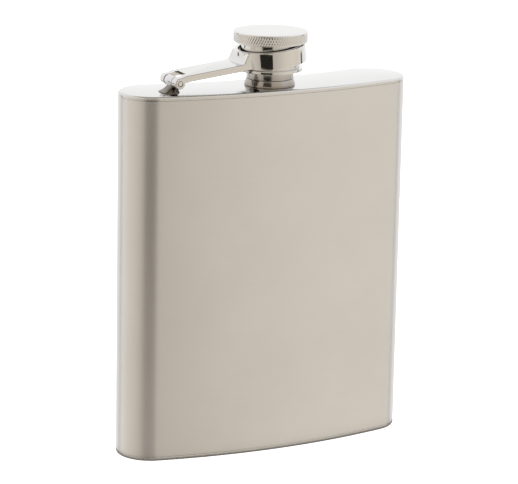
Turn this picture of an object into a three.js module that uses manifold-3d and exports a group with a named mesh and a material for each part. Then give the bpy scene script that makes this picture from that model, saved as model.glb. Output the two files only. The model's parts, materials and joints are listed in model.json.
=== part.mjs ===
// Hip flask: a bent, flat steel bottle with a screw cap held by a hinged arm.
// Millimetres, +Z up. Origin: middle of the flat base, under the neck's axis.
// -Y is the convex front, +Y the hollow back, and the arm's hinge is on the -X side.
import * as THREE from 'three';
import { mergeVertices } from 'three/addons/utils/BufferGeometryUtils.js';
import Module from 'manifold-3d';

// ---- driving dimensions -----------------------------------------------------
const WIDTH = 95;
const THICKNESS = 21.1;
const BEND_RADIUS = 174;        // of the middle line between front and back
const BODY_HEIGHT = 113.3;      // base to top plate
const SHEET = 0.7;              // tube and plates
const PLATE_SKIRT = 1.35;       // turned-down edge of each plate, down to its seam
const PLATE_EDGE_RADIUS = 0.7;
const SEAM_GAP = 0.05;

const NECK_BORE_R = 5.4;
const NECK_STEM_R = 6.2;        // through the collar, and under the thread
const NECK_SHOULDER_R = 7.17;   // the part seen below the cap
const NECK_TOP = 124.2;
const NECK_SHOULDER_TOP = 118.0;
const COLLAR_HEIGHT = 2.15;
const COLLAR_BASE_R = 7.7;
const COLLAR_TOP_R = 7.2;
const THREAD_BEAD_R = 0.4;
const THREAD_PITCH = 1.6;

const CAP_HEAD_R = 11.3;
const CAP_HEAD_BOTTOM = 126.6;
const CAP_TOP = 129.9;
const SLEEVE_R = 8.9;
const SLEEVE_WALL = 0.65;
const FLANGE_R = 9.9;
const FLANGE_BOTTOM = 117.95;
const FLANGE_THICKNESS = 1.0;
const LINER_INNER_R = 7.65;
const GASKET_BOTTOM = 124.5;
const GASKET_THICKNESS = 1.2;

const PIVOT_X = -32.5;
const PIVOT_Z = 116.6;
const ARM_TILT = THREE.MathUtils.degToRad(6.4); // the arm rises towards the cap
const KNUCKLE_R = 1.65;
const PIN_R = 0.85;
const PIN_CLEARANCE = 0.06;
const ARM_HALF_WIDTH = 5.7;
const ARM_SHEET = 0.85;
const ARM_TOP = 2.02;            // the web's outside and the sides' lower edge, above the hinge's axis
const ARM_BOTTOM = 0.04;
const KNUCKLE_GAP = 0.3;        // between the middle and the outer knuckles
const MIDDLE_KNUCKLE_HALF = 2.4;
const RING_R = 10.9;
const RING_WALL = 1.25;
const RING_HEIGHT = 5.2;
const RING_MIDDLE_Z = 122.72;
const SHOULDER_RUN = 2.0;       // length of the ramp from the arm up to the ring

const ROUND = 48;               // segments of a full circle

// ---- solids -----------------------------------------------------------------
const wasm = await Module();
wasm.setup();

/** A closed three.js geometry as a manifold solid. */
function solid(geometry) {
  const plain = geometry.clone();
  for (const name of Object.keys(plain.attributes)) {
    if (name !== 'position') plain.deleteAttribute(name);
  }
  const merged = mergeVertices(plain, 1e-4);
  return new wasm.Manifold(new wasm.Mesh({
    numProp: 3,
    vertProperties: new Float32Array(merged.attributes.position.array),
    triVerts: new Uint32Array(merged.index.array),
  }));
}

/** A manifold solid as a three.js geometry. */
function geometryOf(body) {
  const mesh = body.getMesh();
  const geometry = new THREE.BufferGeometry();
  geometry.setAttribute('position', new THREE.BufferAttribute(new Float32Array(mesh.vertProperties), 3));
  geometry.setIndex(new THREE.BufferAttribute(new Uint32Array(mesh.triVerts), 1));
  geometry.computeVertexNormals();
  return geometry;
}

/** A shape in XY extruded from z = low to z = high. */
function prism(shape, low, high, options = {}) {
  const geometry = new THREE.ExtrudeGeometry(shape, {
    depth: high - low, bevelEnabled: false, curveSegments: 18, ...options,
  });
  return solid(geometry.translate(0, 0, low));
}

/** A profile of [radius, z] points turned about +Z. It starts and ends on the axis or closes itself. */
function turned(points, segments = ROUND) {
  const profile = points.map(([r, z]) => new THREE.Vector2(r, z));
  return solid(new THREE.LatheGeometry(profile, segments).rotateX(Math.PI / 2));
}

/** A tube or ring with square or chamfered edges, about +Z. */
function ring(inner, outer, low, high, chamfer = 0) {
  return turned([
    [inner, low], [outer - chamfer, low], [outer, low + chamfer],
    [outer, high - chamfer], [outer - chamfer, high], [inner, high], [inner, low],
  ]);
}

/** A solid cylinder about +Z. */
function rod(radius, low, high, segments = ROUND) {
  return turned([[0, low], [radius, low], [radius, high], [0, high]], segments);
}

/** A block from its two opposite corners. */
function block(x0, x1, y0, y1, z0, z1) {
  const box = new THREE.BoxGeometry(x1 - x0, y1 - y0, z1 - z0);
  return solid(box.translate((x0 + x1) / 2, (y0 + y1) / 2, (z0 + z1) / 2));
}

/** A side view in the XZ plane, given as a Shape of (x, z), extruded from y0 to y1. */
function sideExtrusion(shape, y0, y1) {
  const geometry = new THREE.ExtrudeGeometry(shape, { depth: y1 - y0, bevelEnabled: false, curveSegments: 16 });
  return solid(geometry.rotateX(Math.PI / 2).translate(0, y1, 0));
}

/** A cylinder along Y through (x, z), from y0 to y1. */
function crossRod(radius, x, z, y0, y1, segments = 32) {
  const geometry = new THREE.CylinderGeometry(radius, radius, y1 - y0, segments);
  return solid(geometry.translate(x, (y0 + y1) / 2, z));
}

class Helix extends THREE.Curve {
  constructor(radius, start, pitch, turns) {
    super();
    Object.assign(this, { radius, start, pitch, turns });
  }

  getPoint(t, target = new THREE.Vector3()) {
    const angle = 2 * Math.PI * this.turns * t;
    const height = this.start + this.pitch * this.turns * t;
    return target.set(this.radius * Math.cos(angle), this.radius * Math.sin(angle), height);
  }
}

/** One round bead wound as a thread. */
function threadBead(radius, start, turns) {
  const section = new THREE.Shape().absarc(0, 0, THREAD_BEAD_R, 0, 2 * Math.PI);
  const path = new Helix(radius, start, THREAD_PITCH, turns);
  return solid(new THREE.ExtrudeGeometry(section, {
    steps: Math.round(turns * 24), extrudePath: path, curveSegments: 3, bevelEnabled: false,
  }));
}

// ---- body -------------------------------------------------------------------
/** The flask's plan: two concentric long arcs joined by round ends, set in by inset. */
function bodyPlan(inset = 0) {
  const half = THICKNESS / 2 - inset;
  const reach = Math.asin((WIDTH / 2 - THICKNESS / 2) / BEND_RADIUS);
  const endX = BEND_RADIUS * Math.sin(reach);
  const endY = BEND_RADIUS * (1 - Math.cos(reach));
  const down = -Math.PI / 2;
  const shape = new THREE.Shape();
  shape.absarc(0, BEND_RADIUS, BEND_RADIUS + half, down - reach, down + reach, false);
  shape.absarc(endX, endY, half, down + reach, down + reach + Math.PI, false);
  shape.absarc(0, BEND_RADIUS, BEND_RADIUS - half, down + reach, down - reach, true);
  shape.absarc(-endX, endY, half, -down - reach, -down - reach + Math.PI, false);
  return shape;
}

/** The wall of the bottle, wrapped from one sheet, open at both ends. */
function makeBodyTube() {
  const low = PLATE_SKIRT;
  const high = BODY_HEIGHT - PLATE_SKIRT;
  return prism(bodyPlan(), low, high).subtract(prism(bodyPlan(SHEET), low - 1, high + 1));
}

/** A pressed end plate, made as the top one: flat, with a rounded edge and a short skirt. */
function makePlate() {
  const edge = PLATE_EDGE_RADIUS;
  const spare = 4;
  const outer = prism(bodyPlan(), BODY_HEIGHT - spare, BODY_HEIGHT - edge, {
    bevelEnabled: true, bevelThickness: edge, bevelSize: edge, bevelOffset: -edge, bevelSegments: 3,
  });
  const below = block(-WIDTH, WIDTH, -WIDTH, WIDTH, 0, BODY_HEIGHT - PLATE_SKIRT + SEAM_GAP);
  const inside = prism(bodyPlan(SHEET), 0, BODY_HEIGHT - SHEET);
  return outer.subtract(below).subtract(inside);
}

function makeTopPlate() {
  return makePlate().subtract(rod(NECK_STEM_R + SEAM_GAP, BODY_HEIGHT - 3, BODY_HEIGHT + 3));
}

function makeBottomPlate() {
  return makePlate().rotate([0, 180, 0]).translate([0, 0, BODY_HEIGHT]);
}

/** The flared ring that holds the neck on the top plate. */
function makeNeckCollar() {
  const low = BODY_HEIGHT + SEAM_GAP;
  const high = BODY_HEIGHT + COLLAR_HEIGHT;
  const inner = NECK_STEM_R + SEAM_GAP;
  return turned([
    [inner, low], [COLLAR_BASE_R, low], [COLLAR_BASE_R, low + 0.35],
    [(COLLAR_BASE_R + COLLAR_TOP_R) / 2, low + 1.2],
    [COLLAR_TOP_R, high], [inner, high], [inner, low],
  ]);
}

/** The spout: a stem staked under the plate, a smooth shoulder, and the outside thread. */
function makeNeck() {
  const foot = BODY_HEIGHT - 1.3;
  const shoulder = BODY_HEIGHT + COLLAR_HEIGHT + SEAM_GAP;
  const lip = 0.25;
  const tube = turned([
    [NECK_BORE_R, foot], [NECK_STEM_R, foot], [NECK_STEM_R, shoulder],
    [NECK_SHOULDER_R, shoulder], [NECK_SHOULDER_R, NECK_SHOULDER_TOP],
    [NECK_STEM_R, NECK_SHOULDER_TOP], [NECK_STEM_R, NECK_TOP - lip],
    [NECK_STEM_R - lip, NECK_TOP], [NECK_BORE_R + lip, NECK_TOP],
    [NECK_BORE_R, NECK_TOP - lip], [NECK_BORE_R, foot],
  ]);
  return tube.add(threadBead(NECK_STEM_R, NECK_SHOULDER_TOP + 1.1, 2.6));
}

/** The fixed leaf of the hinge: a saddle welded to the plate, with hollow flanks up to the middle knuckle. */
function makeHingeBracket() {
  const foot = BODY_HEIGHT + SEAM_GAP;
  const half = MIDDLE_KNUCKLE_HALF;
  const left = PIVOT_X - 3.9;
  const right = PIVOT_X + 2;
  const flanks = new THREE.Shape();
  flanks.moveTo(left, foot);
  flanks.lineTo(right, foot);
  flanks.lineTo(right, foot + 0.3);
  flanks.quadraticCurveTo(PIVOT_X + 1.1, foot + 0.7, PIVOT_X + KNUCKLE_R - 0.05, PIVOT_Z - 0.4);
  flanks.lineTo(PIVOT_X - KNUCKLE_R + 0.05, PIVOT_Z - 0.4);
  flanks.quadraticCurveTo(PIVOT_X - 1.7, foot + 0.9, left + 0.5, foot + 0.62);
  flanks.quadraticCurveTo(left, foot + 0.55, left, foot);
  const saddle = sideExtrusion(flanks, -half, half);
  const leaf = sideExtrusion(flanks, -3, 3).subtract(block(left - 1, right + 1, -4, 4, foot + 0.55, PIVOT_Z));
  const knuckle = crossRod(KNUCKLE_R, PIVOT_X, PIVOT_Z, -half, half);
  const bore = crossRod(PIN_R + PIN_CLEARANCE, PIVOT_X, PIVOT_Z, -half - 1, half + 1);
  return leaf.add(saddle).add(knuckle).subtract(bore);
}

// ---- arm, made with the hinge's axis at its origin and its length along +X ---
const RING_X = -PIVOT_X * Math.cos(ARM_TILT) + (RING_MIDDLE_Z - PIVOT_Z) * Math.sin(ARM_TILT);
const RING_Z = PIVOT_X * Math.sin(ARM_TILT) + (RING_MIDDLE_Z - PIVOT_Z) * Math.cos(ARM_TILT);
const RING_TOP = RING_Z + RING_HEIGHT / 2;
const RING_BOTTOM = RING_Z - RING_HEIGHT / 2;

/** Side view of the arm's outside or, with depth set, of the hollow under its sheet. */
function armSide(depth = 0) {
  const rampEnd = RING_X - RING_R + 0.95 + depth;
  const rampStart = rampEnd - SHOULDER_RUN;
  const floor = depth ? ARM_BOTTOM - 1 : ARM_BOTTOM;
  const shape = new THREE.Shape();
  shape.moveTo(depth, floor);
  shape.lineTo(RING_X, floor);
  shape.lineTo(RING_X, RING_TOP - depth);
  shape.lineTo(rampEnd + 0.4, RING_TOP - depth);
  shape.quadraticCurveTo(rampEnd, RING_TOP - depth, rampEnd - 0.35, RING_TOP - depth - 0.6);
  shape.lineTo(rampStart + 0.8, ARM_TOP - depth + 0.9);
  shape.quadraticCurveTo(rampStart + 0.35, ARM_TOP - depth, rampStart - 0.5, ARM_TOP - depth);
  shape.lineTo(2.5 + depth, ARM_TOP - depth);
  shape.quadraticCurveTo(1.2 + depth, KNUCKLE_R - depth, depth, KNUCKLE_R - depth);
  shape.closePath();
  return shape;
}

/** The arm: a channel with two knuckles at one end and the cap's ring at the other. */
function makeCaptiveArm() {
  const side = ARM_HALF_WIDTH;
  const hole = rod(RING_R - RING_WALL, ARM_BOTTOM - 3, RING_TOP + 3, 64).translate([RING_X, 0, 0]);
  const channel = sideExtrusion(armSide(), -side, side);
  const hollow = sideExtrusion(armSide(ARM_SHEET), -side + ARM_SHEET, side - ARM_SHEET);
  const band = ring(RING_R - RING_WALL, RING_R, RING_BOTTOM, RING_TOP, 0.3).translate([RING_X, 0, 0]);
  const far = block(RING_X - 6, RING_X + 20, -20, 20, -9, 20);
  const slotHalf = MIDDLE_KNUCKLE_HALF + KNUCKLE_GAP;
  const slot = block(-KNUCKLE_R - 1, KNUCKLE_R + 1.7, -slotHalf, slotHalf, -4, 4);
  const knuckles = crossRod(KNUCKLE_R, 0, 0, -side, side);
  const bore = crossRod(PIN_R + PIN_CLEARANCE, 0, 0, -side - 1, side + 1);
  return channel.subtract(hollow).subtract(far).add(knuckles).subtract(hole).add(band)
    .subtract(slot).subtract(bore);
}

/** The hinge pin, peened to a low dome at both ends. */
function makeHingePin() {
  const end = ARM_HALF_WIDTH;
  const profile = [[0, -end], [PIN_R - 0.25, -end], [PIN_R, -end + 0.2], [PIN_R, end - 0.2],
    [PIN_R - 0.25, end], [0, end]];
  return turned(profile, 32).rotate([90, 0, 0]);
}

// ---- cap --------------------------------------------------------------------
/** The knurled head and smooth sleeve, turned as one hollow shell that is open below. */
function makeCapShell() {
  const inner = SLEEVE_R - SLEEVE_WALL;
  const ceiling = CAP_TOP - 0.9;
  const chamfer = 0.35;
  return turned([
    [0, ceiling], [inner, ceiling], [inner, FLANGE_BOTTOM + 0.1], [SLEEVE_R - 0.3, FLANGE_BOTTOM + 0.1],
    [SLEEVE_R - 0.3, FLANGE_BOTTOM + FLANGE_THICKNESS], [SLEEVE_R, FLANGE_BOTTOM + FLANGE_THICKNESS],
    [SLEEVE_R, CAP_HEAD_BOTTOM], [CAP_HEAD_R - chamfer, CAP_HEAD_BOTTOM],
    [CAP_HEAD_R, CAP_HEAD_BOTTOM + chamfer], [CAP_HEAD_R, CAP_TOP - chamfer],
    [CAP_HEAD_R - chamfer, CAP_TOP], [0, CAP_TOP],
  ], 64);
}

/** The washer staked on the sleeve's foot, which keeps the cap in the arm's ring. */
function makeCapFlange() {
  const high = FLANGE_BOTTOM + FLANGE_THICKNESS - SEAM_GAP;
  return ring(SLEEVE_R - 0.3 + SEAM_GAP, FLANGE_R, FLANGE_BOTTOM, high, 0.25);
}

/** The moulded insert with the inside thread. */
function makeCapLiner() {
  const outer = SLEEVE_R - SLEEVE_WALL - SEAM_GAP;
  const low = FLANGE_BOTTOM + 0.3;
  const high = CAP_TOP - 0.9 - SEAM_GAP;
  const ceiling = GASKET_BOTTOM + GASKET_THICKNESS + SEAM_GAP;
  const cup = turned([
    [0, ceiling], [LINER_INNER_R, ceiling], [LINER_INNER_R, low], [outer, low], [outer, high], [0, high],
  ]);
  return cup.add(threadBead(LINER_INNER_R + 0.12, FLANGE_BOTTOM + 1.4, 2.6));
}

/** The sealing disc against the neck's lip. */
function makeCapGasket() {
  return rod(LINER_INNER_R - SEAM_GAP, GASKET_BOTTOM, GASKET_BOTTOM + GASKET_THICKNESS);
}

// ---- assembly ---------------------------------------------------------------
const MATERIALS = {
  satin: new THREE.MeshStandardMaterial({ color: 0xc6bfb4, roughness: 0.42, metalness: 1 }),
  polished: new THREE.MeshStandardMaterial({ color: 0xe4e0d8, roughness: 0.12, metalness: 1 }),
  plastic: new THREE.MeshStandardMaterial({ color: 0xe9e8e2, roughness: 0.5, metalness: 0 }),
  silicone: new THREE.MeshStandardMaterial({ color: 0xf1efe9, roughness: 0.7, metalness: 0 }),
};

function piece(name, body, material) {
  const mesh = new THREE.Mesh(geometryOf(body), MATERIALS[material]);
  mesh.name = name;
  return mesh;
}

const flask = new THREE.Group();
flask.add(
  piece('body_tube', makeBodyTube(), 'satin'),
  piece('top_plate', makeTopPlate(), 'polished'),
  piece('bottom_plate', makeBottomPlate(), 'satin'),
  piece('neck_collar', makeNeckCollar(), 'polished'),
  piece('neck', makeNeck(), 'polished'),
  piece('hinge_bracket', makeHingeBracket(), 'polished'),
);

const arm = new THREE.Group();
arm.position.set(PIVOT_X, 0, PIVOT_Z);
arm.rotation.y = -ARM_TILT;
arm.add(
  piece('captive_arm', makeCaptiveArm(), 'polished'),
  piece('hinge_pin', makeHingePin(), 'polished'),
);

const cap = new THREE.Group();
cap.add(
  piece('cap_shell', makeCapShell(), 'polished'),
  piece('cap_flange', makeCapFlange(), 'polished'),
  piece('cap_liner', makeCapLiner(), 'plastic'),
  piece('cap_gasket', makeCapGasket(), 'silicone'),
);

const hipFlask = new THREE.Group();
hipFlask.name = 'hip_flask';
hipFlask.add(flask, arm, cap);
export default hipFlask;
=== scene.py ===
"""Hip flask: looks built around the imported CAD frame.

Shapes are worked out in millimetres in the row frame and scaled to metres at the end.
-Y is the convex front, +Z runs up through the neck, and the arm's hinge is on the -X side.
"""

import json
import math

import bmesh
import bpy
from mathutils import Matrix, Vector
from mathutils.geometry import delaunay_2d_cdt


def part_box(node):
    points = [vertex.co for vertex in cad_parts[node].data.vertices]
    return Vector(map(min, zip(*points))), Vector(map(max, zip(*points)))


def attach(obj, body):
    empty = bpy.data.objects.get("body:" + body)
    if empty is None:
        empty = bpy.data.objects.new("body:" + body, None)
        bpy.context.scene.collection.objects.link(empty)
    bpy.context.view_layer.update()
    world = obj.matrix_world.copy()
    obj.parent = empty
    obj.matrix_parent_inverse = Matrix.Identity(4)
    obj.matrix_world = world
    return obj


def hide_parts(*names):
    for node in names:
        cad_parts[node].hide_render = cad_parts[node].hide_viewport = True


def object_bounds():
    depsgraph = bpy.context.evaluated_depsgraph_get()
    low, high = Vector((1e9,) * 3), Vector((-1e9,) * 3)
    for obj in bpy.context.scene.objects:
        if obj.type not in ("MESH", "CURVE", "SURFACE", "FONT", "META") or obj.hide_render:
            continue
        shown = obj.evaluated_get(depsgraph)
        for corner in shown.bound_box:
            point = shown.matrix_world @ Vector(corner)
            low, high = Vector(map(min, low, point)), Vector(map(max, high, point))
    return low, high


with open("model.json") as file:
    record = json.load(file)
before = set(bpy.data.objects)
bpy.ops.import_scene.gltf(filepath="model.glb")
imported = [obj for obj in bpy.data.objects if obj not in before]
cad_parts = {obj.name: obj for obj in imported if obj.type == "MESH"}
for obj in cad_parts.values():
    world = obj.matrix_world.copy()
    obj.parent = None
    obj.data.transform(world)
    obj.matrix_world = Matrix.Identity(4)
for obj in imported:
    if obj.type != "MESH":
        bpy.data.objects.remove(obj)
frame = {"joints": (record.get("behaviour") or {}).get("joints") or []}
cad_low, cad_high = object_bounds()

MM = 0.001


def box_mm(node):
    low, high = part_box(node)
    return low / MM, high / MM


# ---- dimensions from the CAD ------------------------------------------------
tube_low, tube_high = box_mm("body_tube")
plate_low, plate_high = box_mm("top_plate")
collar_low, collar_high = box_mm("neck_collar")
neck_low, neck_high = box_mm("neck")
bracket_low, _ = box_mm("hinge_bracket")
shell_low, shell_high = box_mm("cap_shell")
flange_low, flange_high = box_mm("cap_flange")
liner_low, liner_high = box_mm("cap_liner")
gasket_low, gasket_high = box_mm("cap_gasket")
pivot = Vector(frame["joints"][0]["pos_m"]) / MM

WIDTH = tube_high.x - tube_low.x
THICKNESS = 21.1
BEND_RADIUS = 174
SHEET = 0.7
PLATE_EDGE = 0.7
SEAM = 0.05
SEAM_EASE = 0.02
TOP = plate_high.z

NECK_BORE = 5.4
NECK_STEM = 6.2
NECK_SHOULDER = 7.17
SHOULDER_TOP = 118.0
COLLAR_R = 7.7
COLLAR_TOP_R = 7.2
THREAD_PITCH = 1.6
THREAD_TURNS = 2.6
NECK_THREAD = (0.4, 0.5)        # height and half width
LINER_THREAD = (0.28, 0.45)

HEAD_R = shell_high.x
SLEEVE_R = 8.9
SLEEVE_BORE = 8.25
HEAD_BOTTOM = 126.6
LINER_BORE = 7.65

KNUCKLE_FOOT = 114.95           # height of the knuckles' lowest line
KNUCKLE_R = pivot.z - KNUCKLE_FOOT
PIN_R = 0.85
PIN_BORE = 0.91
ARM_TILT = math.radians(6.4)
ARM_HALF = 5.7
ARM_SHEET = 0.85
ARM_EDGE = 0.36
ARM_TOP = 2.02
ARM_BOTTOM = 0.04
MIDDLE_HALF = 2.4
KNUCKLE_EDGE = 0.18
KNUCKLE_GAP = 0.3
RING_R = 10.9
RING_WALL = 1.25
RING_HEIGHT = 5.2
RING_MIDDLE = frame["joints"][1]["pos_m"][2] / MM

TURN = 2 * math.pi
FAR = 20                        # well past the part, for the shapes that cut it


# ---- outlines ---------------------------------------------------------------
def levels(low, high, count):
    return [low + (high - low) * k / count for k in range(count + 1)]


def rounded(points, closed=True, steps=5):
    """Corners given as (a, b) or (a, b, radius), with the ones that have a radius rounded."""
    out = []
    count = len(points)
    for i, point in enumerate(points):
        here = Vector(point[:2])
        radius = point[2] if len(point) > 2 else 0
        if not radius or (not closed and i in (0, count - 1)):
            out.append((here.x, here.y))
            continue
        to_last = Vector(points[i - 1][:2]) - here
        to_next = Vector(points[(i + 1) % count][:2]) - here
        half = to_last.angle(to_next) / 2
        cut = min(radius / math.tan(half), to_last.length * 0.49, to_next.length * 0.49)
        radius = cut * math.tan(half)
        centre = here + (to_last.normalized() + to_next.normalized()).normalized() * radius / math.sin(half)
        first = here + to_last.normalized() * cut - centre
        last = here + to_next.normalized() * cut - centre
        sweep = first.angle_signed(last)
        for k in range(steps + 1):
            turn = -sweep * k / steps
            c, s = math.cos(turn), math.sin(turn)
            out.append((centre.x + c * first.x - s * first.y, centre.y + s * first.x + c * first.y))
    return out


def plan(inset):
    """The flask's outline in plan, anticlockwise: two concentric long arcs joined by round ends."""
    half = THICKNESS / 2 - inset
    reach = math.asin((WIDTH / 2 - THICKNESS / 2) / BEND_RADIUS)
    end_x = BEND_RADIUS * math.sin(reach)
    end_y = BEND_RADIUS * (1 - math.cos(reach))
    down = -math.pi / 2
    long_steps, end_steps = 90, 56
    arcs = (
        (0, BEND_RADIUS, BEND_RADIUS + half, down - reach, 2 * reach, long_steps),
        (end_x, end_y, half, down + reach, math.pi, end_steps),
        (0, BEND_RADIUS, BEND_RADIUS - half, down + reach, -2 * reach, long_steps),
        (-end_x, end_y, half, -down - reach, math.pi, end_steps),
    )
    points = []
    for x, y, radius, start, sweep, steps in arcs:
        for k in range(steps):
            angle = start + sweep * k / steps
            points.append((x + radius * math.cos(angle), y + radius * math.sin(angle)))
    return points


# ---- meshes -----------------------------------------------------------------
def quads(a, b, count):
    """Faces between two rings of the same count that start at indices a and b."""
    return [(a + i, a + (i + 1) % count, b + (i + 1) % count, b + i) for i in range(count)]


def loft(rows, closed):
    """Vertices and faces through equal rings of points, and from the last back to the first if closed."""
    count = len(rows[0])
    verts = [p for row in rows for p in row]
    faces = []
    for r in range(len(rows) if closed else len(rows) - 1):
        faces += quads(r * count, (r + 1) % len(rows) * count, count)
    return verts, faces


def lathe(profile, segments=128, closed=True, relief=None):
    """A profile of (radius, z) turned about Z. If it isn't closed, it starts and ends on the axis."""
    turned = profile if closed else profile[1:-1]
    rows = []
    for radius, z in turned:
        row = []
        for i in range(segments):
            angle = TURN * i / segments
            r = radius + (relief(angle, radius, z) if relief else 0)
            row.append((r * math.cos(angle), r * math.sin(angle), z))
        rows.append(row)
    verts, faces = loft(rows, closed)
    if not closed:
        last = (len(turned) - 1) * segments
        verts += [(0, 0, profile[0][1]), (0, 0, profile[-1][1])]
        first_pole, last_pole = len(verts) - 2, len(verts) - 1
        for i in range(segments):
            faces.append((first_pole, (i + 1) % segments, i))
            faces.append((last_pole, last + i, last + (i + 1) % segments))
    return verts, faces


def extruded(outline, y0, y1):
    """An outline of (x, z) drawn out along Y."""
    count = len(outline)
    verts = [(x, y0, z) for x, z in outline] + [(x, y1, z) for x, z in outline]
    faces = quads(0, count, count) + [tuple(range(count)), tuple(range(count, 2 * count))]
    return verts, faces


def shrunk(outline, inset):
    """The closed outline with every side moved inwards by inset."""
    count = len(outline)
    area = sum(a[0] * b[1] - b[0] * a[1] for a, b in zip(outline, outline[1:] + outline[:1]))
    inwards = 1 if area > 0 else -1
    normals = []
    for i in range(count):
        along = Vector(outline[(i + 1) % count]) - Vector(outline[i])
        normals.append(Vector((-along.y, along.x)).normalized() * inwards)
    out = []
    for i, point in enumerate(outline):
        before, after = normals[i - 1], normals[i]
        out.append(tuple(Vector(point) + (before + after) * inset / (1 + before.dot(after))))
    return out


def eased(outline, y0, y1, radius, steps=5):
    """An outline of (x, z) drawn out along Y, with both ends' edges rounded to the radius."""
    rows = []
    for end, step in ((y0, 1), (y1, -1)):
        ring = []
        for k in range(steps + 1):
            angle = math.pi / 2 * k / steps
            y = end + step * radius * (1 - math.cos(angle))
            ring.append([(x, y, z) for x, z in shrunk(outline, radius * (1 - math.sin(angle)))])
        rows += ring if step == 1 else ring[::-1]
    verts, faces = loft(rows, False)
    count = len(outline)
    return verts, faces + [tuple(range(count)), tuple(range(len(verts) - count, len(verts)))]


def disc(radius, segments, x=0, z=0):
    return [(x + radius * math.cos(TURN * i / segments), z + radius * math.sin(TURN * i / segments))
            for i in range(segments)]


def block(x0, x1, y0, y1, z0, z1):
    return extruded([(x0, z0), (x1, z0), (x1, z1), (x0, z1)], y0, y1)


def to_object(shape, name="part"):
    """A mesh object in millimetres, with its faces turned outwards."""
    verts, faces = shape
    mesh = bpy.data.meshes.new(name)
    mesh.from_pydata(verts, [], faces)
    work = bmesh.new()
    work.from_mesh(mesh)
    bmesh.ops.remove_doubles(work, verts=work.verts, dist=1e-5)
    bmesh.ops.recalc_face_normals(work, faces=work.faces)
    work.to_mesh(mesh)
    work.free()
    thing = bpy.data.objects.new(name, mesh)
    bpy.context.scene.collection.objects.link(thing)
    return thing


def apply_modifiers(thing):
    graph = bpy.context.evaluated_depsgraph_get()
    mesh = bpy.data.meshes.new_from_object(thing.evaluated_get(graph))
    thing.modifiers.clear()
    thing.data = mesh
    return thing


def combine(thing, tools, operation):
    """Joins the tool shapes to thing, or cuts them out of it."""
    helpers = [to_object(tool, "tool") for tool in tools]
    for helper in helpers:
        modifier = thing.modifiers.new("combine", "BOOLEAN")
        modifier.operation = operation
        modifier.solver = "EXACT"
        modifier.object = helper
    apply_modifiers(thing)
    for helper in helpers:
        bpy.data.objects.remove(helper)
    return thing


def soften(thing, width, angle=38, segments=3):
    """Rounds the sharp edges that a cut or a join has left."""
    work = bmesh.new()
    work.from_mesh(thing.data)
    bmesh.ops.remove_doubles(work, verts=work.verts, dist=1e-4)
    bmesh.ops.dissolve_limit(work, angle_limit=math.radians(0.5), verts=work.verts, edges=work.edges)
    work.to_mesh(thing.data)
    work.free()
    modifier = thing.modifiers.new("soften", "BEVEL")
    modifier.width = width
    modifier.segments = segments
    modifier.limit_method = "ANGLE"
    modifier.angle_limit = math.radians(angle)
    modifier.use_clamp_overlap = True
    modifier.miter_outer = "MITER_ARC"
    return apply_modifiers(thing)


def place(thing, name, body, material, nodes, smooth=34):
    """Scales a finished mesh to metres and hangs it on its body in place of the CAD nodes."""
    thing.name = name
    thing.data.name = name
    thing.data.transform(Matrix.Scale(MM, 4))
    thing.data.polygons.foreach_set("use_smooth", [True] * len(thing.data.polygons))
    thing.data.set_sharp_from_angle(angle=math.radians(smooth))
    thing.data.materials.clear()
    thing.data.materials.append(material)
    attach(thing, body)
    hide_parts(*nodes)
    return thing


# ---- materials, with their lengths in metres --------------------------------
GRAIN_DEPTH = 0.00002
SKIN_DEPTH = 0.00003
SWELL_DEPTH = 0.0002
WEAR_RADIUS = 0.0006
# How ragged the edge of the weld tint and painted shade is.
TINT_AND_SHADE_RAGGED = 0.0003
# Weld tint with painted shade at the neck's foot, as (low, high, colour) in metres.
NECK_TINT_AND_SHADE = (0.1138, 0.1174, (0.30, 0.27, 0.24))
# Painted shade under the hinge's knuckle, over the saddle, as (low, high, colour) in metres.
HINGE_SHADE = (0.11545, 0.11585, (0.20, 0.18, 0.16))
BRIGHT = (0.665, 0.660, 0.650)
DULLED = (0.635, 0.630, 0.618)


class Nodes:
    """A short way to build a node tree."""

    def __init__(self, tree):
        self.tree = tree

    def add(self, kind, inputs=None, **settings):
        node = self.tree.nodes.new(kind)
        for key, value in settings.items():
            setattr(node, key, value)
        for key, value in (inputs or {}).items():
            if isinstance(value, bpy.types.NodeSocket):
                self.tree.links.new(value, node.inputs[key])
            else:
                node.inputs[key].default_value = value
        return node

    def math(self, operation, a, b=0.0, c=0.0):
        return self.add("ShaderNodeMath", {0: a, 1: b, 2: c}, operation=operation).outputs[0]

    def span(self, value, low, high, to_low, to_high):
        node = self.add("ShaderNodeMapRange", {
            "Value": value, "From Min": low, "From Max": high, "To Min": to_low, "To Max": to_high})
        return node.outputs["Result"]

    def noise(self, vector, scale, detail=3.0, roughness=0.55):
        node = self.add("ShaderNodeTexNoise", {
            "Vector": vector, "Scale": scale, "Detail": detail, "Roughness": roughness})
        return node.outputs["Fac"]

    def stretched(self, vector, scale):
        return self.add("ShaderNodeMapping", {"Vector": vector, "Scale": scale}).outputs["Vector"]

    def dot(self, a, b):
        return self.add("ShaderNodeVectorMath", {0: a, 1: b}, operation="DOT_PRODUCT").outputs["Value"]

    def height(self, vector):
        return self.add("ShaderNodeSeparateXYZ", {0: vector}).outputs["Z"]

    def mixed(self, factor, a, b):
        node = self.add("ShaderNodeMix", data_type="RGBA")
        self.tree.links.new(factor, node.inputs["Factor"])
        for key, value in (("A", a), ("B", b)):
            socket = next(s for s in node.inputs if s.name == key and s.type == "RGBA")
            if isinstance(value, bpy.types.NodeSocket):
                self.tree.links.new(value, socket)
            else:
                socket.default_value = (*value, 1)
        return next(s for s in node.outputs if s.type == "RGBA")


def new_material(name):
    material = bpy.data.materials.new(name)
    material.use_nodes = True
    material.node_tree.nodes.clear()
    nodes = Nodes(material.node_tree)
    shader = nodes.add("ShaderNodeBsdfPrincipled")
    nodes.add("ShaderNodeOutputMaterial", {"Surface": shader.outputs["BSDF"]})
    position = nodes.add("ShaderNodeTexCoord").outputs["Object"]
    return material, nodes, shader, position


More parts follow.
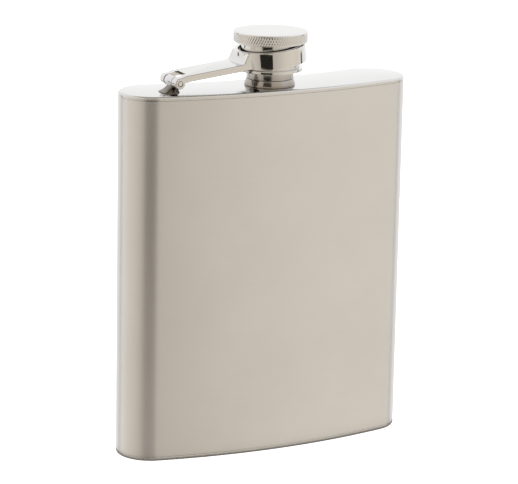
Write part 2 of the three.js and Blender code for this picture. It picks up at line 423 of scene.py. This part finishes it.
def steel(name, light, dark, roughness, grain, grain_bump,
          anisotropic=0.0, wave=0.0, wear=0.0, side_roughness=0.0, tint_and_shade=None):
    """Steel with a directional grain. grain is the noise's scale along X, Y and Z, per metre.

    wave is the strength of a slow swell, wear brightens sharp edges, and side_roughness is for steep faces.
    The tint, as (low, high, colour), darkens the metal from the height high down to low: weld tint with
    painted shade at the neck's foot, and painted shade under the hinge's knuckle.
    """
    material, nodes, shader, position = new_material(name)
    link = nodes.tree.links.new
    lines = nodes.noise(nodes.stretched(position, grain), 1.0, 4.0, 0.6)
    cloud = nodes.noise(position, 45.0, 3.0)
    tone = nodes.math("ADD", nodes.math("MULTIPLY", lines, 0.45), nodes.math("MULTIPLY", cloud, 0.55))
    colour = nodes.mixed(nodes.span(tone, 0.3, 0.7, 0.0, 1.0), dark, light)
    if wear:
        bevel = nodes.add("ShaderNodeBevel", {"Radius": WEAR_RADIUS}, samples=4).outputs["Normal"]
        normal = nodes.add("ShaderNodeNewGeometry").outputs["Normal"]
        edge = nodes.span(nodes.dot(bevel, normal), 0.995, 0.9, 0.0, wear)
        colour = nodes.mixed(edge, colour, tuple(min(1.0, 1.1 * c) for c in light))
    # Painted shade, with weld tint on the neck: the metal darkens from the height high down to low.
    if tint_and_shade:
        shade_low, shade_high, tint_and_shade_colour = tint_and_shade
        ragged = nodes.math("ADD", nodes.height(position), nodes.math("MULTIPLY", cloud, TINT_AND_SHADE_RAGGED))
        colour = nodes.mixed(nodes.span(ragged, shade_low, shade_high, 1.0, 0.0), colour, tint_and_shade_colour)
    link(colour, shader.inputs["Base Color"])
    low, high = roughness
    rough = nodes.span(lines, 0.25, 0.75, low, high)
    if side_roughness:
        facing = nodes.add("ShaderNodeTexCoord").outputs["Normal"]
        level = nodes.math("ABSOLUTE", nodes.height(facing))
        rough = nodes.math("ADD", rough, nodes.span(level, 0.97, 0.7, 0.0, side_roughness - high))
    link(rough, shader.inputs["Roughness"])
    shader.inputs["Metallic"].default_value = 1.0
    if anisotropic:
        shader.inputs["Anisotropic"].default_value = anisotropic
        shader.inputs["Anisotropic Rotation"].default_value = 0.25
        tangent = nodes.add("ShaderNodeTangent", direction_type="RADIAL", axis="Z")
        link(tangent.outputs["Tangent"], shader.inputs["Tangent"])
    bump = nodes.add("ShaderNodeBump", {"Height": lines, "Strength": grain_bump, "Distance": GRAIN_DEPTH})
    if wave:
        swell = nodes.noise(position, 70.0, 1.0)
        bump = nodes.add("ShaderNodeBump", {
            "Height": swell, "Strength": wave, "Distance": SWELL_DEPTH, "Normal": bump.outputs["Normal"]})
    link(bump.outputs["Normal"], shader.inputs["Normal"])
    return material


def moulded(name, light, dark, roughness, scale):
    """A matt moulded plastic or rubber with a fine skin."""
    material, nodes, shader, position = new_material(name)
    link = nodes.tree.links.new
    skin = nodes.noise(position, scale, 4.0)
    cloud = nodes.noise(position, scale / 12, 2.0)
    link(nodes.mixed(nodes.span(cloud, 0.3, 0.7, 0.0, 1.0), dark, light), shader.inputs["Base Color"])
    link(nodes.span(skin, 0.3, 0.7, roughness - 0.06, roughness + 0.06), shader.inputs["Roughness"])
    bump = nodes.add("ShaderNodeBump", {"Height": skin, "Strength": 0.25, "Distance": SKIN_DEPTH})
    link(bump.outputs["Normal"], shader.inputs["Normal"])
    return material


body_steel = steel("body_steel", (0.676, 0.668, 0.656), (0.627, 0.619, 0.607), (0.36, 0.42),
                   (30, 30, 9000), 0.30, anisotropic=0.62, wave=0.04)
plate_steel = steel("plate_steel", (0.665, 0.662, 0.658), (0.635, 0.632, 0.628), (0.09, 0.14),
                    (60, 2500, 2500), 0.10, wave=0.04, side_roughness=0.30)
mirror_steel = steel("mirror_steel", BRIGHT, (0.645, 0.640, 0.628), (0.04, 0.08),
                     (300, 300, 6000), 0.04, wear=0.3)
head_steel = steel("head_steel", BRIGHT, DULLED, (0.08, 0.15),
                   (2500, 2500, 2500), 0.12, wear=0.3)
# Darker than the other steel as painted shade under the arm; weld tint and painted shade darken it further
# towards the top plate.
shaded_neck_steel = steel("shaded_neck_steel", (0.530, 0.518, 0.500), (0.470, 0.458, 0.440), (0.14, 0.20),
                   (300, 300, 6000), 0.06, wear=0.3, tint_and_shade=NECK_TINT_AND_SHADE)
hinge_steel = steel("hinge_steel", BRIGHT, DULLED, (0.08, 0.14),
                    (300, 300, 6000), 0.05, wear=0.2, tint_and_shade=HINGE_SHADE)
liner_plastic = moulded("liner_plastic", (0.86, 0.85, 0.81), (0.80, 0.79, 0.75), 0.45, 2500)
gasket_rubber = moulded("gasket_rubber", (0.88, 0.87, 0.84), (0.82, 0.81, 0.78), 0.62, 4000)


# ---- bottle -----------------------------------------------------------------
def wrap(inset, z):
    return [(x, y, z) for x, y in plan(inset)]


def body_wall():
    """The bottle's wall: one wrapped sheet with eased edges where the plates meet it."""
    low, high, ease = tube_low.z, tube_high.z, SEAM_EASE
    rows = [wrap(ease, low)] + [wrap(0, z) for z in levels(low + ease, high - ease, 24)] + [wrap(ease, high)]
    rows += [wrap(SHEET, high), wrap(SHEET, low)]
    return to_object(loft(rows, True))


def flat_fill(outline, hole):
    """Triangles of the flat area inside outline and outside hole, as (points, faces)."""
    points = [Vector(p) for p in outline + hole]
    n, m = len(outline), len(hole)
    edges = [(i, (i + 1) % n) for i in range(n)] + [(n + i, n + (i + 1) % m) for i in range(m)]
    made, _, faces, *_ = delaunay_2d_cdt(points, edges, [], 1, 1e-7)
    if hole:
        radius = Vector(hole[0]).length
        faces = [f for f in faces if sum((made[i] for i in f), Vector((0, 0))).length / 3 > radius]
    return [tuple(p) for p in made], faces


def end_plate(bottom, hole_radius):
    """A pressed end plate as the top one: a flat face, a rounded edge and a short skirt."""
    ease = SEAM_EASE
    top, inside = TOP, TOP - SHEET
    rows = [wrap(SHEET, inside), wrap(SHEET, bottom), wrap(ease, bottom), wrap(0, bottom + ease)]
    for angle in levels(0, math.pi / 2, 6):
        rows.append(wrap(PLATE_EDGE * (1 - math.cos(angle)), top - PLATE_EDGE * (1 - math.sin(angle))))
    verts, faces = loft(rows, False)
    hole = disc(hole_radius, 96) if hole_radius else []
    for z, edge in ((top, PLATE_EDGE), (inside, SHEET)):
        points, flat = flat_fill(plan(edge), hole)
        start = len(verts)
        verts += [(x, y, z) for x, y in points]
        faces += [tuple(start + i for i in f) for f in flat]
    if hole:
        start = len(verts)
        verts += [(x, y, z) for z in (top, inside) for x, y in hole]
        faces += quads(start, start + len(hole), len(hole))
    return to_object((verts, faces))


place(body_wall(), "bottle_wall", "flask", body_steel, ["body_tube"])

skirt_bottom = plate_low.z
top_cover = end_plate(skirt_bottom, NECK_STEM + SEAM)
place(top_cover, "top_cover", "flask", plate_steel, ["top_plate"])

bottom_cover = end_plate(skirt_bottom, 0)
bottom_cover.data.transform(Matrix.Translation((0, 0, TOP)) @ Matrix.Scale(-1, 4, (0, 0, 1)))
bottom_cover.data.flip_normals()
place(bottom_cover, "bottom_cover", "flask", plate_steel, ["bottom_plate"])


# ---- neck -------------------------------------------------------------------
def thread_height(angle, z, start, half_width):
    """How far one round thread stands out at a place, as a share of its full height."""
    for lap in range(4):
        turns = angle / TURN + lap
        away = abs(z - start - THREAD_PITCH * turns)
        if 0 <= turns <= THREAD_TURNS and away < half_width:
            fade = min(1, turns / 0.12, (THREAD_TURNS - turns) / 0.12)
            return fade * (0.5 + 0.5 * math.cos(math.pi * away / half_width))
    return 0


def neck_shape():
    foot, top = neck_low.z, neck_high.z
    shoulder = collar_high.z + SEAM
    start = SHOULDER_TOP + 1.1
    profile = rounded([
        (NECK_BORE, top - 0.3), (NECK_BORE, foot, 0.1), (NECK_STEM, foot, 0.1),
        (NECK_STEM, shoulder), (NECK_SHOULDER, shoulder, 0.14),
        (NECK_SHOULDER, SHOULDER_TOP, 0.22), (NECK_STEM, SHOULDER_TOP, 0.1),
        (NECK_STEM, SHOULDER_TOP + 0.3),
    ], closed=False)
    profile += [(NECK_STEM, z) for z in levels(SHOULDER_TOP + 0.35, top - 0.35, 70)]
    profile += rounded([
        (NECK_STEM, top - 0.3), (NECK_STEM, top, 0.25), (NECK_BORE, top, 0.25), (NECK_BORE, top - 0.28),
    ], closed=False)

    def relief(angle, radius, z):
        if radius < NECK_STEM - 0.01 or not SHOULDER_TOP + 0.3 < z < top - 0.3:
            return 0
        return NECK_THREAD[0] * thread_height(angle, z, start, NECK_THREAD[1])

    return to_object(lathe(profile, 128, relief=relief))


place(neck_shape(), "spout", "flask", shaded_neck_steel, ["neck"])

collar_inner = NECK_STEM + SEAM
place(to_object(lathe(rounded([
    (collar_inner, collar_low.z), (COLLAR_R, collar_low.z, 0.1), (COLLAR_R, collar_low.z + 0.45, 1.2),
    (COLLAR_TOP_R, collar_high.z, 0.14), (collar_inner, collar_high.z),
]))), "spout_collar", "flask", shaded_neck_steel, ["neck_collar"])


# ---- hinge bracket ----------------------------------------------------------
def curve(p0, p1, p2, steps=8):
    """A quadratic curve, without its first point."""
    out = []
    for k in range(1, steps + 1):
        t = k / steps
        out.append(tuple((1 - t) ** 2 * a + 2 * t * (1 - t) * b + t * t * c for a, b, c in zip(p0, p1, p2)))
    return out


def bracket_shape():
    """A saddle with hollow flanks on all four sides, under the hinge's middle knuckle."""
    foot = bracket_low.z
    px, pz = pivot.x, pivot.z
    height = pz - 0.5 - foot
    lip = 0.18
    stem_x, stem_y = 1.25, 1.75
    left_flare, right_flare, side_flare = 2.65, 0.5, 1.25
    flare_power, corner_power = 2.4, 3.2
    sides = 72
    rows = []
    for share in levels(0, 1, 16):
        flare = (1 - share) ** flare_power
        z = foot + lip + (height - lip) * share
        rows.append((px - stem_x - left_flare * flare, px + stem_x + right_flare * flare,
                     stem_y + side_flare * flare, z))
    rows.insert(0, (*rows[0][:3], foot))
    rings = []
    for left, right, half, z in rows:
        ring = []
        for c, s in disc(1, sides):
            reach = (abs(c) ** corner_power + abs(s) ** corner_power) ** (-1 / corner_power)
            ring.append(((left + right) / 2 + c * reach * (right - left) / 2, s * reach * half, z))
        rings.append(ring)
    verts, faces = loft(rings, False)
    last = len(verts)
    faces += [tuple(range(sides)), tuple(range(last - sides, last))]
    thing = to_object((verts, faces))
    knuckle = eased(disc(KNUCKLE_R, 64, px, pz), -MIDDLE_HALF, MIDDLE_HALF, KNUCKLE_EDGE)
    combine(thing, [knuckle], "UNION")
    combine(thing, [extruded(disc(PIN_BORE, 48, px, pz), -MIDDLE_HALF - 1, MIDDLE_HALF + 1)], "DIFFERENCE")
    return soften(thing, 0.1)


place(bracket_shape(), "hinge_saddle", "flask", hinge_steel, ["hinge_bracket"])


# ---- arm, made with the hinge's axis at its origin and its length along +X ----
rise = RING_MIDDLE - pivot.z
RING_X = -pivot.x * math.cos(ARM_TILT) + rise * math.sin(ARM_TILT)
RING_Z = pivot.x * math.sin(ARM_TILT) + rise * math.cos(ARM_TILT)
RING_TOP = RING_Z + RING_HEIGHT / 2
RING_BOTTOM = RING_Z - RING_HEIGHT / 2
ARM_PLACE = Matrix.Translation(pivot) @ Matrix.Rotation(-ARM_TILT, 4, "Y")


def arm_side(depth):
    """Side view of the arm's outside or, with a depth, of the hollow under its sheet."""
    ramp_end = RING_X - RING_R + 0.95 + depth
    ramp_start = ramp_end - 2
    floor = ARM_BOTTOM - 1 if depth else ARM_BOTTOM
    top = RING_TOP - depth
    web = ARM_TOP - depth
    knuckle = KNUCKLE_R - depth
    outline = [(depth, floor), (RING_X, floor), (RING_X, top), (ramp_end + 0.6, top)]
    outline += curve(outline[-1], (ramp_end, top), (ramp_end - 0.35, top - 0.7))
    outline.append((ramp_start + 0.8, web + 0.9))
    outline += curve(outline[-1], (ramp_start + 0.35, web), (ramp_start - 0.5, web))
    outline.append((2.5 + depth, web))
    outline += curve(outline[-1], (1.2 + depth, knuckle), (depth, knuckle))
    return outline


def ring_hole(radius):
    verts, faces = extruded(disc(radius, 160), -FAR, FAR)
    return [(x + RING_X, z, y) for x, y, z in verts], faces


def arm_shape():
    side = ARM_HALF
    slot = MIDDLE_HALF + KNUCKLE_GAP + 0.1
    inner = RING_R - RING_WALL
    meets_floor = TURN + math.asin(ARM_BOTTOM / KNUCKLE_R)
    knuckle = []
    for angle in levels(math.pi / 2, meets_floor, 48)[1:]:
        knuckle.append((KNUCKLE_R * math.cos(angle), KNUCKLE_R * math.sin(angle)))
    thing = to_object(eased(arm_side(0)[1:] + knuckle, -side, side, ARM_EDGE))
    hollow = extruded(arm_side(ARM_SHEET), -side + ARM_SHEET, side - ARM_SHEET)
    combine(thing, [
        hollow,
        block(RING_X - 6, RING_X + FAR, -FAR, FAR, -9, FAR),
        ring_hole(inner + 0.4),
        block(-KNUCKLE_R - 1, KNUCKLE_R + 1.7, -slot, slot, -4, 4),
        extruded(disc(PIN_BORE, 48), -side - 1, side + 1),
    ], "DIFFERENCE")
    verts, faces = lathe(rounded([
        (inner, RING_BOTTOM, 0.12), (RING_R, RING_BOTTOM, 0.16),
        (RING_R, RING_TOP, 0.2), (inner, RING_TOP, 0.12),
    ]), 160)
    combine(thing, [([(x + RING_X, y, z) for x, y, z in verts], faces)], "UNION")
    thing.data.transform(ARM_PLACE)
    return thing


place(arm_shape(), "cap_arm", "arm", mirror_steel, ["captive_arm"])

pin = to_object(lathe(rounded([
    (0, -ARM_HALF), (PIN_R - 0.05, -ARM_HALF, 0.3), (PIN_R - 0.05, ARM_HALF, 0.3), (0, ARM_HALF),
], closed=False), 48, closed=False))
pin.data.transform(ARM_PLACE @ Matrix.Rotation(math.pi / 2, 4, "X"))
place(pin, "arm_pin", "arm", mirror_steel, ["hinge_pin"])


# ---- cap --------------------------------------------------------------------
KNURLS = 84
KNURL_LOW, KNURL_HIGH = HEAD_BOTTOM + 0.3, shell_high.z - 0.42
KNURL_DEPTH = 0.13
KNURL_RISE = 1.6
KNURL_SECOND = 0.45             # share of the depth that the second set has
KNURL_FADE = 0.12


def knurl(angle, radius, z):
    """Slanting grooves, crossed by a shallower second set the other way."""
    if radius < HEAD_R - 0.01 or not KNURL_LOW <= z <= KNURL_HIGH:
        return 0
    around = KNURLS * angle / TURN
    up = (z - KNURL_LOW) / KNURL_RISE
    ends = min(1, (z - KNURL_LOW) / KNURL_FADE, (KNURL_HIGH - z) / KNURL_FADE)
    first, second = (max(0, 1 - 4 * abs((around + s * up) % 1 - 0.5)) for s in (-1, 1))
    return -KNURL_DEPTH * ends * max(first, KNURL_SECOND * second)


def cap_shape():
    top = shell_high.z
    ceiling = top - 0.9
    low = shell_low.z
    ledge = flange_high.z + SEAM
    profile = rounded([
        (0, ceiling), (SLEEVE_BORE, ceiling), (SLEEVE_BORE, low, 0.1), (SLEEVE_R - 0.3, low, 0.1),
        (SLEEVE_R - 0.3, ledge), (SLEEVE_R, ledge), (SLEEVE_R, HEAD_BOTTOM, 0.2),
        (HEAD_R, HEAD_BOTTOM, 0.28), (HEAD_R, KNURL_LOW),
    ], closed=False)
    profile += [(HEAD_R, z) for z in levels(KNURL_LOW, KNURL_HIGH, 30)[1:]]
    profile += rounded([(HEAD_R, KNURL_HIGH + 0.04), (HEAD_R, top, 0.34), (0, top)], closed=False)
    inner = [(r, top) for r in (HEAD_R * 0.66, HEAD_R * 0.33)]
    profile = profile[:-1] + inner + [(0, top)]
    return to_object(lathe(profile, KNURLS * 8, closed=False, relief=knurl))


place(cap_shape(), "cap_head", "cap", head_steel, ["cap_shell"])

place(to_object(lathe(rounded([
    (SLEEVE_R - 0.25, flange_low.z, 0.08), (flange_high.x, flange_low.z, 0.12),
    (flange_high.x, flange_high.z, 0.12), (SLEEVE_R - 0.25, flange_high.z, 0.08),
]))), "cap_washer", "cap", mirror_steel, ["cap_flange"])


def liner_shape():
    low, high = liner_low.z, liner_high.z
    ceiling = gasket_high.z + SEAM
    outer = liner_high.x
    start = low + 1.1
    profile = [(0, ceiling), (LINER_BORE, ceiling)]
    profile += [(LINER_BORE, z) for z in reversed(levels(low + 0.4, ceiling - 0.1, 70))]
    profile += rounded([
        (LINER_BORE, low + 0.3), (LINER_BORE, low, 0.15), (outer, low, 0.1), (outer, high, 0.1), (0, high),
    ], closed=False)

    def relief(angle, radius, z):
        inside = abs(radius - LINER_BORE) < 0.01 and low + 0.35 < z < ceiling - 0.05
        return -LINER_THREAD[0] * thread_height(angle, z, start, LINER_THREAD[1]) if inside else 0

    return to_object(lathe(profile, 128, closed=False, relief=relief))


place(liner_shape(), "cap_insert", "cap", liner_plastic, ["cap_liner"])

seat = gasket_low.z
groove = seat + 0.12            # pressed in by the neck's lip
place(to_object(lathe(rounded([
    (0, seat), (5.3, seat), (5.5, groove), (6.1, groove), (6.3, seat),
    (gasket_high.x, seat, 0.2), (gasket_high.x, gasket_high.z, 0.15), (0, gasket_high.z),
], closed=False), closed=False)), "cap_seal", "cap", gasket_rubber, ["cap_gasket"])


# ---- floor ------------------------------------------------------------------
FLOOR_HALF = 6000
FLOOR_DROP = 0.00005            # in metres, as the next one
SHADE_DROP = 0.00003
FLOOR_GREY = (0.86, 0.86, 0.86)
FLOOR_GLOW = 0.94
SHADE_OUTER, SHADE_INNER = 2, 0.5       # how far the contact shade reaches past and under the foot
SHADE_COLOUR = (0.45, 0.44, 0.43)


def stage_object(shape, name, z=0):
    """An object that only dresses the scene, from a shape in millimetres."""
    thing = to_object(shape)
    thing.name = name
    thing.data.transform(Matrix.Translation((0, 0, z)) @ Matrix.Scale(MM, 4))
    return thing


def matt_material(name, colour):
    material, nodes, shader, position = new_material(name)
    shader.inputs["Base Color"].default_value = (*colour, 1)
    shader.inputs["Roughness"].default_value = 1.0
    shader.inputs["Specular IOR Level"].default_value = 0.0
    return material, nodes, shader, position


def show_in_reflections_only(thing):
    for ray in ("visible_camera", "visible_diffuse", "visible_transmission", "visible_shadow"):
        setattr(thing, ray, False)


def make_floor():
    """A plain pale floor. It is lit past white, and from below it is clear."""
    corners = [(x * FLOOR_HALF, y * FLOOR_HALF, 0) for x, y in ((-1, -1), (1, -1), (1, 1), (-1, 1))]
    floor = stage_object((corners, [(0, 1, 2, 3)]), "floor", cad_low.z - FLOOR_DROP)
    if floor.data.polygons[0].normal.z < 0:
        floor.data.flip_normals()
    material, nodes, shader, _ = matt_material("pale_floor", FLOOR_GREY)
    shader.inputs["Emission Color"].default_value = (1, 1, 1, 1)
    shader.inputs["Emission Strength"].default_value = FLOOR_GLOW
    clear = nodes.add("ShaderNodeBsdfTransparent").outputs[0]
    below = nodes.add("ShaderNodeNewGeometry").outputs["Backfacing"]
    mix = nodes.add("ShaderNodeMixShader", {0: below, 1: shader.outputs[0], 2: clear})
    output = next(n for n in nodes.tree.nodes if n.type == "OUTPUT_MATERIAL")
    nodes.tree.links.new(mix.outputs[0], output.inputs["Surface"])
    floor.data.materials.append(material)
    floor.visible_glossy = False


def make_contact_shade():
    """A strip of shade on the floor round the foot, where the floor itself shows in no reflection."""
    strip = loft([wrap(-SHADE_OUTER, 0), wrap(SHADE_INNER, 0)], False)
    shade = stage_object(strip, "contact_shade", cad_low.z - SHADE_DROP)
    shade.data.materials.append(matt_material("contact_shade", SHADE_COLOUR)[0])
    show_in_reflections_only(shade)


make_floor()
make_contact_shade()

# ---- camera -----------------------------------------------------------------
CAMERA_PLACE = Vector((-0.36636, -0.71883, 0.26989))
CAMERA_TARGET = Vector((-0.00189, 0.00096, 0.06367))
CAMERA_ROLL = math.radians(1.131)
CAMERA_LENS = 187.87
IMAGE_WIDTH = 518
AZIMUTH = math.radians(-26.856)

camera = bpy.data.objects.new("camera", bpy.data.cameras.new("camera"))
bpy.context.scene.collection.objects.link(camera)
back = (CAMERA_PLACE - CAMERA_TARGET).normalized()
right = Vector((math.cos(AZIMUTH), math.sin(AZIMUTH), 0))
up = back.cross(right)
right, up = (right * math.cos(CAMERA_ROLL) + up * math.sin(CAMERA_ROLL),
             up * math.cos(CAMERA_ROLL) - right * math.sin(CAMERA_ROLL))
camera.matrix_world = Matrix.Translation(CAMERA_PLACE) @ Matrix((right, up, back)).transposed().to_4x4()
camera.data.lens = CAMERA_LENS
camera.data.sensor_width = 36
camera.data.shift_x = -0.5 / IMAGE_WIDTH
camera.data.shift_y = 0.5 / IMAGE_WIDTH
camera.data.clip_start = 0.05
camera.data.clip_end = 50
bpy.context.scene.camera = camera

# ---- light tent -------------------------------------------------------------
# The tent's walls, by the turn in degrees to the right of the camera's side: (turn, brightness).
# LOW is the band about the horizon that upright faces reflect, and HIGH is what lies above and below it.
TENT_LOW = (
    (-180, 1.13), (-116, 1.10), (-98, 1.03), (-84, 0.95), (-72, 0.90), (-57, 0.82), (-43, 0.74), (-34, 0.64),
    (0, 0.60), (22, 0.71), (49, 0.88), (56, 0.91), (79, 0.96), (92, 0.92), (104, 0.96), (114, 1.09),
    (180, 1.13),
)
TENT_HIGH = (
    (-180, 1.13), (-120, 1.13), (-70, 1.00), (0, 0.85), (45, 0.95), (70, 1.12), (120, 1.15), (180, 1.13),
)
# Two dark gaps between the walls and the backdrop: 1 is in the gap.
TENT_GAPS = (
    (-180, 0), (-127, 0), (-125, 1), (-119, 1), (-117, 0), (112, 0), (115, 1), (121, 1), (124, 0), (180, 0),
)
GAP_COLOUR = (0.14, 0.125, 0.11)
GAP_FADE = (8, 11)              # degrees above and below LOW_MIDDLE
LOW_MIDDLE = -14                # elevations in degrees, as the next three
LOW_ABOVE = (2, 14)
LOW_BELOW = (-34, -48)
CEILING_FADE = (50, 64)
CEILING = (0.34, 0.32, 0.29)
WARMTH = (1.0, 0.915, 0.80)
WHITE_FROM, WHITE_FADE = 1.12, 0.14
# The dark card, in millimetres, with its turn in degrees to the right of the camera's side.
CARD_TURN = -10.9
CARD_AWAY = 210
CARD_HALF = 76
CARD_HEIGHTS = ((-150, 96), (172, 235))
CARD_FADE = (10, 26)            # heights between which the card turns from grey to black
CARD_GREY = (0.42, 0.385, 0.34)
CARD_BLACK = (0.02, 0.018, 0.016)


def tint(value):
    """The brightest walls are white, and the others are a little warm."""
    warm = min(1.0, max(0.0, (WHITE_FROM - value) / WHITE_FADE))
    return (*(value * (1 - warm * (1 - w)) for w in WARMTH), 1)


def ramp_of(nodes, share, table, colour_of=tint):
    ramp = nodes.add("ShaderNodeValToRGB", {"Fac": share})
    stops = ramp.color_ramp.elements
    stops[1].position = 1
    for i, (degrees, value) in enumerate(table):
        position = (degrees + 180) / 360
        stop = stops[0] if i == 0 else stops[-1] if i == len(table) - 1 else stops.new(position)
        stop.color = colour_of(value)
    return ramp.outputs["Color"]


def make_tent():
    world = bpy.data.worlds.new("tent")
    world.use_nodes = True
    world.node_tree.nodes.clear()
    bpy.context.scene.world = world
    nodes = Nodes(world.node_tree)
    direction = nodes.add("ShaderNodeTexCoord").outputs["Generated"]

    front = nodes.dot(direction, (math.sin(AZIMUTH), -math.cos(AZIMUTH), 0))
    side = nodes.dot(direction, (math.cos(AZIMUTH), math.sin(AZIMUTH), 0))
    turn = nodes.math("ARCTAN2", side, front)
    share = nodes.span(turn, -math.pi, math.pi, 0.0, 1.0)
    rise = nodes.math("DEGREES", nodes.math("ARCSINE", nodes.dot(direction, (0, 0, 1))))
    above = nodes.span(rise, *LOW_ABOVE, 0.0, 1.0)
    below = nodes.span(rise, *LOW_BELOW, 0.0, 1.0)
    outside = nodes.math("MAXIMUM", above, below)
    wall = nodes.mixed(outside, ramp_of(nodes, share, TENT_LOW), ramp_of(nodes, share, TENT_HIGH))
    gap = ramp_of(nodes, share, TENT_GAPS, lambda value: (value, value, value, 1))
    away = nodes.math("ABSOLUTE", nodes.math("SUBTRACT", rise, LOW_MIDDLE))
    near = nodes.span(away, *GAP_FADE, 1.0, 0.0)
    wall = nodes.mixed(nodes.math("MULTIPLY", gap, near), wall, GAP_COLOUR)
    wall = nodes.mixed(nodes.span(rise, *CEILING_FADE, 0.0, 1.0), wall, CEILING)
    seen = nodes.add("ShaderNodeLightPath").outputs["Is Camera Ray"]
    colour = nodes.mixed(seen, wall, (1, 1, 1))
    background = nodes.add("ShaderNodeBackground", {"Color": colour, "Strength": 1.0})
    nodes.add("ShaderNodeOutputWorld", {"Surface": background.outputs[0]})


def make_dark_card():
    """The dark opening that the camera looks in through, in two parts. Only reflections see it."""
    turn = AZIMUTH + math.radians(CARD_TURN)
    out = Vector((math.sin(turn), -math.cos(turn), 0))
    across = Vector((math.cos(turn), math.sin(turn), 0))
    corners = [out * CARD_AWAY + across * side * CARD_HALF + Vector((0, 0, z))
               for low, high in CARD_HEIGHTS for side, z in ((-1, low), (1, low), (1, high), (-1, high))]
    card = stage_object((corners, [(0, 1, 2, 3), (4, 5, 6, 7)]), "dark_card")
    material, nodes, shader, position = matt_material("dark_card", CARD_GREY)
    share = nodes.span(nodes.height(position), *(height * MM for height in CARD_FADE), 0.0, 1.0)
    nodes.tree.links.new(nodes.mixed(share, CARD_GREY, CARD_BLACK), shader.inputs["Base Color"])
    card.data.materials.append(material)
    show_in_reflections_only(card)


make_tent()
make_dark_card()
bpy.context.scene.view_settings.view_transform = "Standard"
